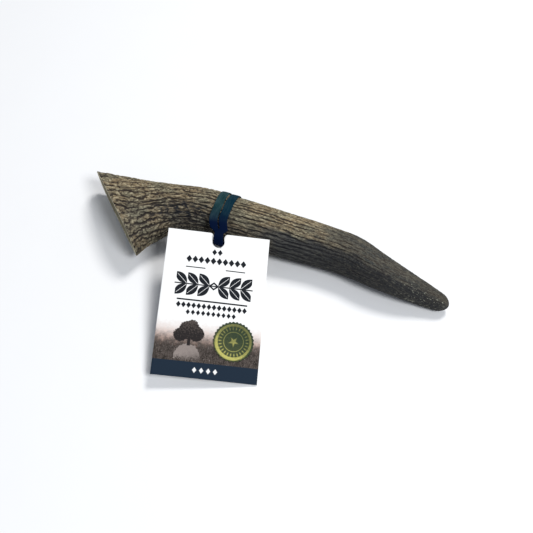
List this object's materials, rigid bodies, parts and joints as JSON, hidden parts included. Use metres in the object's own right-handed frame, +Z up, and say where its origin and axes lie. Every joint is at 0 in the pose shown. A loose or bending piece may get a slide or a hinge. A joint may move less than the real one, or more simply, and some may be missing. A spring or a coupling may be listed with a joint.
{
  "type": "deer antler tine with hang tag",
  "caption": "Sawn deer antler tine, flared at the oblique cut and curving to a blunt tip, with a patterned card hang tag hooked on a flat rubber band.",
  "frame": {"origin": "on the ground, at the middle of the whole footprint", "axes": "+X from the sawn end to the tip, +Y towards the back of the antler, away from the tag, +Z up"},
  "size_m": [0.1556, 0.0843, 0.0218],
  "materials": {
    "antler": "dry furrowed antler surface, weathered brown grey, with a matt sawn face",
    "band": "matt dark blue-green rubber",
    "tag": "smooth white card, offset printed in sepia and navy",
    "seal": "embossed gold foil"
  },
  "bodies": {
    "root": {"antler": "antler", "band": "band", "tag": "tag", "seal": "seal"}
  },
  "joints": []
}
